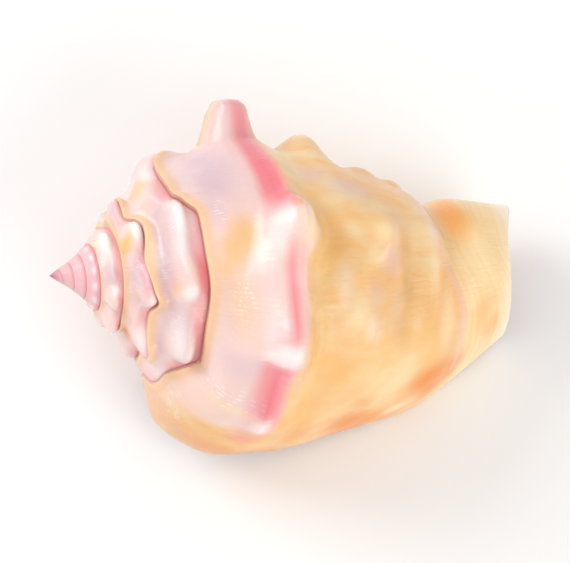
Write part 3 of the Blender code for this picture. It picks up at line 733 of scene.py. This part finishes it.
# %% Soft patches of colour
# growth angle, distance along the axis, half width in degrees, half width along, strength
PATCHES = {
    # lilac: the shell's own lilac clouds on the body, and painted shade on the ramp and below the knobs and
    # folds
    "lilac_and_shade": [
        (38, 156, 20, 22, 0.9), (24, 150, 12, 14, 0.9), (60, 150, 9, 10, 0.7), (14, 146, 10, 10, 0.7),
        (10, 182, 8, 10, 0.5),
        (42, 256, 6, 20, 0.45), (50, 290, 6, 24, 0.5), (91, 322, 7, 12, 0.5), (116, 326, 9, 8, 0.35),
        (102, 150, 16, 8, 0.35), (104, 302, 6, 8, 0.3),
        (-275, 98, 38, 7, 0.9), (-240, 112, 12, 12, 0.9),
        (-215, 95, 20, 6, 0.7), (-360, 104, 12, 8, 0.4), (-628, 75, 14, 6, 0.95), (-603, 75, 9, 5, 0.6),
        (-700, 63, 11, 6, 0.8), (-992, 53, 11, 6, 0.95), (-480, 84, 60, 8, 0.5), (-100, 150, 60, 20, 0.5)],
    "peach": [
        (108, 164, 12, 15, 0.95), (92, 150, 10, 10, 0.6), (-8, 165, 14, 20, 0.5), (118, 176, 5, 9, 0.6),
        (176, 130, 16, 40, 0.8), (152, 150, 5, 20, 0.5), (-341, 92, 10, 9, 0.5)],
    "amber": [
        (76, 171, 9, 15, 0.85), (82, 160, 9, 12, 0.8), (100, 156, 10, 10, 0.3), (-655, 67.5, 8, 4.5, 1.0),
        (0, 170, 8, 11, 1.0), (-341, 90, 8, 8, 0.7), (-258, 108, 4, 4, 0.6), (131, 367, 10, 16, 0.5),
        (64, 420, 16, 14, 0.9), (95, 255, 26, 16, 0.45),
        (90, 153, 6, 9, 0.6), (69, 217, 3, 6, 0.8), (130, 432, 16, 8, 0.6), (140, 240, 18, 24, 0.4),
        (125, 330, 14, 22, 0.4),
        (168, 215, 10, 40, 0.6), (172, 150, 10, 24, 0.5)],
    "orange": [
        (173, 301, 6, 36, 1.0), (153, 376, 7, 28, 1.0), (174, 338, 5, 16, 0.8), (48, 408, 24, 14, 0.65),
        (76, 211, 2.5, 3.5, 0.8), (181, 190, 7, 70, 0.75), (-557, 73, 7, 4, 0.9), (157, 402, 7, 16, 0.8),
        (166, 255, 4, 14, 0.4), (163, 290, 8, 26, 1.0), (168, 313, 7, 18, 0.9), (161, 381, 6, 12, 0.9),
        (152, 300, 5, 12, 0.5), (163, 235, 6, 14, 0.5), (126, 440, 12, 9, 0.3), (142, 448, 10, 8, 0.4)],
    # painted shade in the hollows and on the shaded sides of the body's low knobs
    "hollow_shade": [
        (87, 338, 7, 8, 0.8), (101, 342, 10, 7, 0.7), (113, 259, 6, 12, 0.6), (119, 272, 5, 7, 0.4),
        (102, 268, 8, 8, 0.3), (66, 252, 6, 16, 0.4), (110, 386, 10, 5, 0.4), (88, 400, 12, 4, 0.3),
        (123, 336, 7, 9, 0.3), (100, 352, 5, 5, 0.3)],
    # cream: the shell's own cream, and painted glints on the body's knobs and along the crest of the last
    # fold
    "cream_and_glint": [
        (79, 230, 6, 10, 0.95), (166, 345, 3, 10, 0.9), (78, 314, 5, 9, 1.0), (76, 283, 4, 8, 0.7),
        (82, 435, 16, 14, 0.7), (126, 390, 13, 8, 0.65), (98, 372, 14, 5, 0.5), (141, 303, 7, 10, 0.4),
        (88, 304, 3, 6, 0.6), (112, 282, 4, 8, 0.7), (30, 236, 14, 10, 0.6), (150, 330, 9, 22, 0.4),
        (100, 440, 26, 9, 0.6), (62, 318, 5, 10, 0.5), (170, 250, 6, 20, 0.4), (148, 165, 1.8, 26, 0.6),
        (-292, 88, 30, 5, 0.6), (-1045, 47, 16, 4, 0.9)],
    # white: the white knob tips, and painted highlights among them, as on a knob of the whorl before the
    # last
    "white": [
        (75, 203, 5.5, 11, 0.8), (81, 195, 6, 10, 0.7), (87, 186, 5, 8, 0.55), (91, 178, 3, 5, 0.4),
        (119, 200, 3.5, 10, 1.0), (121, 190, 2.5, 8, 0.9), (113, 190, 6, 9, 0.4), (150, 188, 3, 5, 0.9),
        (-662, 76, 9, 4.5, 1.0), (-297, 113, 9, 6, 0.95), (-285, 111, 9, 5, 0.6), (-257, 117, 4, 8, 1.0),
        (-228, 110, 12, 6, 0.6), (-298, 125, 9, 4, 0.5), (-223, 122, 9, 4, 0.7), (-196, 103, 8, 8, 0.6),
        (-345, 101, 8, 6, 0.6), (-609, 85, 6, 3.5, 0.8), (-577, 81, 9, 4, 0.7),
        (-1032, 52, 20, 5, 1.0), (-969, 58, 6, 3, 0.9)],
    # shine: where painted glints are laid in white along the growth lines
    "shine": [
        (104, 166, 7, 8, 1.0), (62, 153, 9, 4, 0.9), (144, 155, 4, 22, 1.0), (171, 118, 8, 6, 1.0),
        (36, 132, 14, 5, 0.4), (-270, 97, 12, 4, 0.6), (-297, 106, 8, 3, 0.7), (-635, 75, 10, 4, 0.6),
        (-238, 108, 6, 4, 0.6)],
}
print(sum(len(spots) for spots in PATCHES.values()), "patches in", len(PATCHES), "colours")


# %% Growth numbers of the points
def spot(t, s, t0, s0, t_half, s_half):
    """A soft round mark at growth angle t0 and distance s0."""
    return np.exp(-HALF * (((t - t0) / t_half) ** 2 + ((s - s0) / s_half) ** 2) ** 1.3)


FAR = 1000.0


def arc_lengths(rows, turns):
    """Distance of each outer point from its whorl's edge, and to the next whorl's edge."""
    away = np.zeros(len(skin.points))
    left = np.full(len(skin.points), FAR)
    for t in turns[1:]:
        ids = rows[t]
        p = np.array([skin.points[i] for i in ids])
        run = np.concatenate([[0.0], np.cumsum(np.linalg.norm(np.diff(p, axis=0), axis=1))])
        away[ids] = run
        left[ids[:SPIRE_CELLS + 1]] = run[SPIRE_CELLS] - run[:SPIRE_CELLS + 1]
        if t > T_LIP - 360:
            left[ids] = FAR
    return away, left


points = np.array(skin.points)
growth = np.array(skin.growth)
t, w, kind = growth.T
s = points[:, 0]
from_edge, to_edge = arc_lengths(rows, turns)
outside = (kind == OUTSIDE) | (kind == LIP)
last_whorl = outside & (t > BODY_FROM)
spire = outside & ~last_whorl
scale = np.clip(suture(np.minimum(t, LAST_FREE_SUTURE))[:, 1] / 100.0, 0.1, 1.0)
print(int(last_whorl.sum()), "points on the last whorl,", int(spire.sum()), "on the spire")

# %% Marks of the patches and knobs
marks = {}
for name, spots in PATCHES.items():
    total = np.zeros(len(points))
    for t0, s0, t_half, s_half, strength in spots:
        total = np.maximum(total, strength * spot(t, s, t0, s0, t_half, s_half))
    marks[name] = np.where(outside, total, 0.0)
# a white dot on each knob's tip, but for the stretches where the patches above already paint the tips
painted = (t < -170) & (t > -350) | (t < -570) & (t > -680) | (t < -940) | (t > 60) & (s < 250)
for kt, ks, before, after, a_s, _, _, white in KNOBS:
    half = np.where(t < kt, before, after)
    dot = white * spot(t, s, kt, ks, 0.5 * half, 0.5 * a_s)
    marks["white"] = np.where(outside & ~painted, np.maximum(marks["white"], dot), marks["white"])
# painted shade under the third knob's fold: lilac along a line, and the peach taken away there
under = ease(123.0, 125.5, t) * (1 - ease(129, 141, t)) * ease(138, 150, s) * (1 - ease(172, 184, s))
marks["lilac_and_shade"] = np.maximum(marks["lilac_and_shade"], np.where(last_whorl, 0.4 * under, 0.0))
marks["peach"] = marks["peach"] * np.where(last_whorl & (t > 123) & (t < 140), 1 - under, 1.0)
bead = (0.5 + 0.5 * np.cos(2 * np.pi * (t - BEADS_TO) / BEAD_STEP)) ** 2
bead = bead * np.exp(-((w - 1.9) / 0.5) ** 2)
marks["white"] = np.where(outside & (t > BEADS_FROM) & (t < BEADS_TO), 0.8 * bead, marks["white"])
print("white on", round(100 * (marks["white"] > 0.5).mean(), 1), "% of the points")

# %% Marks of the edges and bands
# the pale edge of each whorl, the peach band behind it, and painted shade in the crevice where the next one
# lies on it
edged = outside & (t > T_APEX + 360)
grown_up = ease(-1300, -700, t)
edge = np.exp(-((from_edge / (3.4 * scale)) ** 2))
marks["edge"] = np.where(edged, edge * (0.45 + 0.55 * grown_up), 0.0)
marks["edge_band"] = np.where(edged, np.exp(-((from_edge / (11.0 * scale)) ** 4)) * grown_up, 0.0)
# painted shade along that crevice, stronger on some whorls than on others
dark_early = 0.12 + 0.8 * np.exp(-(((t + 612) / 14) ** 2)) + 0.5 * np.exp(-(((t + 700) / 14) ** 2))
dark = np.where(t > -372, 1.0 - 0.65 * ease(-250, -215, t), dark_early)
crevice_shade = 0.7 * np.exp(-((to_edge / (0.7 * scale)) ** 2)) * dark
marks["crevice_shade"] = np.where(spire & (t > -1080), crevice_shade, 0.0)
# the rose band in front of the knobs, and the paler pink between it and the keel
half_band = 12.5 - 6.5 * ease(68, 82, t) * (1 - ease(112, 122, t))
band = np.exp(-HALF * np.abs((s - ROSE_LINE(t)) / half_band) ** 4)
spire_band = np.exp(-HALF * np.abs(to_edge / (17.0 * scale)) ** 4) * SPIRE_ROSE(t)
marks["rose"] = np.where(last_whorl, band * ROSE_POWER(t), np.where(spire, spire_band, 0.0))
line = BODY_LINE(t)
marks["body"] = np.where(last_whorl, ease(0, 1, 0.5 + (s - line) / (2 * BODY_EDGE(t))), 0.0)
marks["blush"] = np.where(last_whorl, ease(198, 207, s) * ease(80, 88, t) * (1 - ease(114, 122, t)), 0.0)
marks["blush"] *= 1 - marks["body"]
print("rose on", round(100 * (marks["rose"] > 0.5).mean(), 1), "% of the points")

# %% Marks of the front, the lip, the hollow and the apex
marks["lobe"] = np.where(last_whorl, ease(-4, 10, s - GROOVE_LINE(t)), 0.0)
marks["front"] = np.where(last_whorl, ease(452, 478, s), 0.0)
marks["groove"] = np.where(last_whorl & (t < 160), spot(s, 0, GROOVE_LINE(t), 0, 3.5, 1.0), 0.0)
marks["lip"] = np.where(kind == LIP, 0.8, 0.0)
marks["inside"] = np.where((kind == INSIDE) | (kind == CORE), 1.0, 0.0)
marks["young"] = np.where(outside, 1 - ease(-1250, -980, t), 0.0)
marks["apex"] = np.where(outside & (t < -1800), 1 - ease(3, 15, s), 0.0)
print("lobe on", round(100 * (marks["lobe"] > 0.5).mean(), 1), "% of the points")


# %% Store the marks on the mesh
def store(name, kind_of_value, field, values):
    """Give the mesh's points a named value each."""
    values = np.asarray(values).astype(np.float32).ravel()
    data.attributes.new(name, kind_of_value, "POINT").data.foreach_set(field, values)


for name, values in marks.items():
    store(name, "FLOAT", "value", values)
# growth angle and distance from the whorl's edge, as a map for growth lines
PLAN_TURN = 60.0
plan = np.stack([t / PLAN_TURN, from_edge / 40.0, kind * 3.0], axis=1)
store("plan", "FLOAT_VECTOR", "vector", plan)
# growth angle and distance along the axis past the groove, for the growth lines of the front end
past = (s - GROOVE_LINE(t)) / 20.0 + 0.9 * np.sin(np.radians(np.clip(t, -60, 160) - 20))
rim_plan = np.stack([t / PLAN_TURN, past, np.zeros(len(t))], axis=1)
store("rim_plan", "FLOAT_VECTOR", "vector", rim_plan)
print("marks:", ", ".join(f"{k} {v.mean():.2f}" for k, v in marks.items()))

# %% [markdown]
# ## Shell finish
# The real surface is polished calcium carbonate: cool pearly pink near the suture, warm amber
# towards the front, and clear enough for a little light to go under the skin. A painted picture
# would end where the view ends, so the material is made of nodes, which run on all round the shell.

# %% Colours
def srgb(r, g, b):
    """Colour from the 0 to 255 values of a screen."""
    def lin(c):
        """One value of the colour, made linear as the renderer wants it."""
        c = c / 255.0
        return c / 12.92 if c <= 0.04045 else ((c + 0.055) / 1.055) ** 2.4
    return (lin(r), lin(g), lin(b), 1.0)


COLOURS = {
    "pearl": srgb(245, 214, 214),
    "peach": srgb(252, 212, 188),
    "sand": srgb(243, 190, 126),
    # used both for the shell's cream and for painted glints
    "cream_and_glint": srgb(254, 226, 176),
    "honey": srgb(250, 184, 98),
    # used both for the shell's lilac clouds and for painted shade
    "lilac_and_shade": srgb(220, 190, 200),
    "rose": srgb(248, 124, 136),
    "blush": srgb(250, 196, 188),
    "white": srgb(255, 248, 246),
    "amber": srgb(246, 190, 104),
    "orange": srgb(240, 142, 42),
    # colour of the painted shade in the body's hollows
    "hollow_shade": srgb(222, 172, 112),
    "edge": srgb(250, 214, 170),
    "edge_band": srgb(246, 196, 150),
    # colour of the painted shade in the crevices between the whorls
    "crevice_shade": srgb(186, 100, 80),
    "young": srgb(246, 192, 198),
    "apex": srgb(212, 112, 150),
    "inside": srgb(250, 200, 178),
    "lip": srgb(252, 212, 170),
    "front": srgb(255, 248, 246),
}
print(len(COLOURS), "colours")

# %% Node helpers
mat = bpy.data.materials.new("polished_shell")
mat.use_nodes = True
tree = mat.node_tree
nodes, links = tree.nodes, tree.links
skin_shader = nodes["Principled BSDF"]


def mark(name):
    """Node that reads a mark from the points."""
    node = nodes.new("ShaderNodeAttribute")
    node.attribute_name = name
    return node


def noise(vector, scale, detail, stretch=(1, 1, 1)):
    """Noise that reads the given map, stretched."""
    mapping = nodes.new("ShaderNodeMapping")
    mapping.inputs["Scale"].default_value = stretch
    links.new(vector, mapping.inputs["Vector"])
    node = nodes.new("ShaderNodeTexNoise")
    node.inputs["Scale"].default_value = scale
    node.inputs["Detail"].default_value = detail
    links.new(mapping.outputs["Vector"], node.inputs["Vector"])
    return node.outputs["Fac"]


def math_node(kind, a, b=None):
    """Sum, product, sine or power of sockets or numbers."""
    node = nodes.new("ShaderNodeMath")
    node.operation = kind
    for socket, value in zip(node.inputs, (a, b)):
        if value is None:
            continue
        if isinstance(value, (int, float)):
            socket.default_value = value
        else:
            links.new(value, socket)
    return node.outputs[0]


def spread(fac, low, high):
    """Stretch the middle of a noise to 0 and 1."""
    node = nodes.new("ShaderNodeMapRange")
    node.inputs["From Min"].default_value = low
    node.inputs["From Max"].default_value = high
    links.new(fac, node.inputs["Value"])
    return node.outputs["Result"]


def lay(under, colour, fac):
    """Lay a colour over another by a factor."""
    node = nodes.new("ShaderNodeMix")
    node.data_type = "RGBA"
    for socket, value in ((node.inputs[6], under), (node.inputs[7], colour)):
        if isinstance(value, tuple):
            socket.default_value = value
        else:
            links.new(value, socket)
    links.new(fac, node.inputs[0])
    return node.outputs[2]


def times(fac, value):
    """Product of two factors."""
    return math_node("MULTIPLY", fac, value)


print("helpers for", mat.name)

# %% Patterns
object_map = nodes.new("ShaderNodeTexCoord").outputs["Object"]
plan_map = mark("plan").outputs["Vector"]
clouds = spread(noise(object_map, 60.0, 3.0), 0.35, 0.65)
blotches = spread(noise(object_map, 75.0, 2.0), 0.38, 0.64)
mist = spread(noise(object_map, 85.0, 2.0), 0.5, 0.68)
streaks = spread(noise(plan_map, 1.0, 2.0, (7.0, 0.9, 1.0)), 0.4, 0.62)
rim_streaks = spread(noise(mark("rim_plan").outputs["Vector"], 1.0, 2.0, (0.5, 4.0, 1.0)), 0.4, 0.62)
lines = noise(plan_map, 1.0, 2.0, (30.0, 1.6, 1.0))
split = nodes.new("ShaderNodeSeparateXYZ")
links.new(plan_map, split.inputs["Vector"])
# the painted glints stand in rows, one to each growth line of 1.8 degrees
rows_of_lines = math_node("SINE", times(split.outputs["X"], 2 * math.pi * PLAN_TURN / 1.8))
rows_of_lines = math_node("POWER", math_node("ADD", times(rows_of_lines, 0.5), 0.5), 2.0)
painted_glints = times(rows_of_lines, spread(noise(plan_map, 1.0, 2.0, (14.0, 6.0, 1.0)), 0.48, 0.6))
print("patterns with", len(nodes), "nodes")

# %% [markdown]
# ## Layers of colour
# The material starts from soft clouds of pearl and peach. Then the warm body, the lobe at the front
# and one mark after the other are laid over it, each with its own strength, as a painter glazes.

# %% Colour, laid from the ground up
# marks over the ground, from the lowest to the highest, with the strength of each; some carry painted shade
# and painted glints
LAYERS = [
    ("lilac_and_shade", 0.85), ("blush", 0.75), ("edge_band", 0.8), ("amber", 0.92), ("orange", 1.0), ("hollow_shade", 0.8),
    ("cream_and_glint", 0.85), ("rose", 0.95), ("white", 1.0), ("edge", 0.85), ("front", 0.6),
]
colour = lay(COLOURS["pearl"], COLOURS["peach"], times(clouds, 0.55))
colour = lay(colour, COLOURS["peach"], mark("peach").outputs["Fac"])
warm = lay(COLOURS["sand"], COLOURS["cream_and_glint"], times(blotches, 0.7))
warm = lay(warm, COLOURS["honey"], times(streaks, 0.45))
warm = lay(warm, COLOURS["lilac_and_shade"], times(mist, 0.12))
colour = lay(colour, warm, mark("body").outputs["Fac"])
lobe = lay(COLOURS["cream_and_glint"], COLOURS["honey"], times(rim_streaks, 0.3))
colour = lay(colour, lobe, times(mark("lobe").outputs["Fac"], 0.85))
colour = lay(colour, COLOURS["young"], times(mark("young").outputs["Fac"], 0.9))
colour = lay(colour, COLOURS["apex"], mark("apex").outputs["Fac"])
for name, strength in LAYERS:
    colour = lay(colour, COLOURS[name], times(mark(name).outputs["Fac"], strength))
colour = lay(colour, COLOURS["blush"], times(mark("groove").outputs["Fac"], 0.5))
colour = lay(colour, COLOURS["lip"], mark("lip").outputs["Fac"])
# painted glints in white, in rows along the growth lines, where the shine mark lies
colour = lay(colour, COLOURS["white"], times(times(painted_glints, mark("shine").outputs["Fac"]), 0.8))
# painted shade laid along the crevices between the whorls
colour = lay(colour, COLOURS["crevice_shade"], times(mark("crevice_shade").outputs["Fac"], 0.85))
colour = lay(colour, COLOURS["inside"], mark("inside").outputs["Fac"])
links.new(colour, skin_shader.inputs["Base Color"])
print(len(LAYERS), "layers over the ground")

# %% [markdown]
# ## Relief and gloss
# Growth lines and soft swells are too low for the grid, so a bump makes them. The polish is a thin
# clear coat over a half-matt ground: a mirror finish would hide the colours under its glints.

# %% Relief, gloss and the place in the model
waves = noise(object_map, 240.0, 2.0)
swells = noise(object_map, 62.0, 1.0)
height = math_node("ADD", math_node("ADD", times(lines, 0.3), times(waves, 0.8)), times(swells, 6.0))
bump = nodes.new("ShaderNodeBump")
bump.inputs["Strength"].default_value = 0.6
bump.inputs["Distance"].default_value = 0.0008
links.new(height, bump.inputs["Height"])
links.new(bump.outputs["Normal"], skin_shader.inputs["Normal"])
POLISH = {"Roughness": 0.34, "Subsurface Weight": 0.15, "Subsurface Radius": (1.0, 0.5, 0.35),
          "Subsurface Scale": 0.002, "Coat Weight": 0.3, "Coat Roughness": 0.16}
for name, value in POLISH.items():
    skin_shader.inputs[name].default_value = value
data.materials.append(mat)
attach(shell, "root")
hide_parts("shell")
print("material with", len(nodes), "nodes")

# %% [markdown]
# ## Floor, camera and lights
# The shell lies on a pale floor that is wide enough to show no edge. The camera looks at its back
# from above, a little from the front end, through a long lens, because a short one would make the
# near knobs too large. Three large soft lights and a pale sky stand in for a bright white studio.
# Small hard lamps would leave sharp shadows between the knobs.

# %% Floor
# the finer skin dips this far below the level on which the solid rests
FLOOR_DROP = 0.00025
bpy.ops.object.select_all(action="DESELECT")
bpy.ops.mesh.primitive_plane_add(size=6.0, location=(0.0, 0.0, -FLOOR_DROP))
floor = bpy.context.active_object
floor.name = "floor"
floor_mat = bpy.data.materials.new("pale_floor")
floor_mat.use_nodes = True
floor_shader = floor_mat.node_tree.nodes["Principled BSDF"]
floor_shader.inputs["Base Color"].default_value = (0.97, 0.97, 0.97, 1.0)
floor_shader.inputs["Roughness"].default_value = 0.9
floor.data.materials.append(floor_mat)
print("floor at z =", -FLOOR_DROP)

# %% Camera
# the picture in pixels, with one unit of growth to a pixel, and the pixel that shows the apex
PHOTO_WIDTH, PHOTO_HEIGHT = 570, 563
APEX_PIXEL = (47, 276)
CAMERA_DISTANCE = 1.1
SENSOR = 36.0
# turn towards the front end, and roll of the picture
LOOK_TURN = math.radians(17)
LOOK_ROLL = math.radians(3)

across = Vector((math.cos(LOOK_TURN), 0.0, math.sin(LOOK_TURN)))
right = across * math.cos(LOOK_ROLL) - Vector((0, 1, 0)) * math.sin(LOOK_ROLL)
upward = across * math.sin(LOOK_ROLL) + Vector((0, 1, 0)) * math.cos(LOOK_ROLL)
back = right.cross(upward)
centre = right * (PHOTO_WIDTH / 2 - APEX_PIXEL[0]) + upward * (APEX_PIXEL[1] - PHOTO_HEIGHT / 2)
cam_data = bpy.data.cameras.new("camera")
cam_data.sensor_width = SENSOR
cam_data.lens = SENSOR * CAMERA_DISTANCE / (PHOTO_WIDTH * UNIT)
camera = bpy.data.objects.new("camera", cam_data)
bpy.context.scene.collection.objects.link(camera)
turn = Matrix([REST_TURN @ v for v in (right, upward, back)]).transposed()
stand = at_rest(centre) + (REST_TURN @ back) * CAMERA_DISTANCE
camera.matrix_world = Matrix.Translation(stand) @ turn.to_4x4()
bpy.context.scene.camera = camera
print("lens", round(cam_data.lens), "mm")


# %% Lights
LIGHT_AIM = Vector((0, 0, 0.03))


def soft_light(name, direction, distance, size, power):
    """Square light at a direction given in picture axes: right, up, towards the viewer."""
    d = REST_TURN @ (right * direction[0] + upward * direction[1] + back * direction[2]).normalized()
    lamp = bpy.data.lights.new(name, "AREA")
    lamp.shape = "SQUARE"
    lamp.size = size
    lamp.energy = power
    obj = bpy.data.objects.new(name, lamp)
    bpy.context.scene.collection.objects.link(obj)
    obj.location = LIGHT_AIM + d * distance
    obj.rotation_euler = d.to_track_quat("Z", "Y").to_euler()


soft_light("key", (-1.0, 0.75, 0.7), 0.6, 0.34, 1.7)
soft_light("fill", (0.8, -0.6, 0.8), 0.7, 0.5, 1.9)
soft_light("top", (0.0, 0.2, 1.0), 0.9, 0.6, 0.5)
world = bpy.context.scene.world or bpy.data.worlds.new("world")
bpy.context.scene.world = world
world.use_nodes = True
world.node_tree.nodes["Background"].inputs["Color"].default_value = (1.0, 0.99, 0.98, 1.0)
world.node_tree.nodes["Background"].inputs["Strength"].default_value = 0.62
bpy.context.scene.view_settings.view_transform = "Standard"
print("three soft lights")
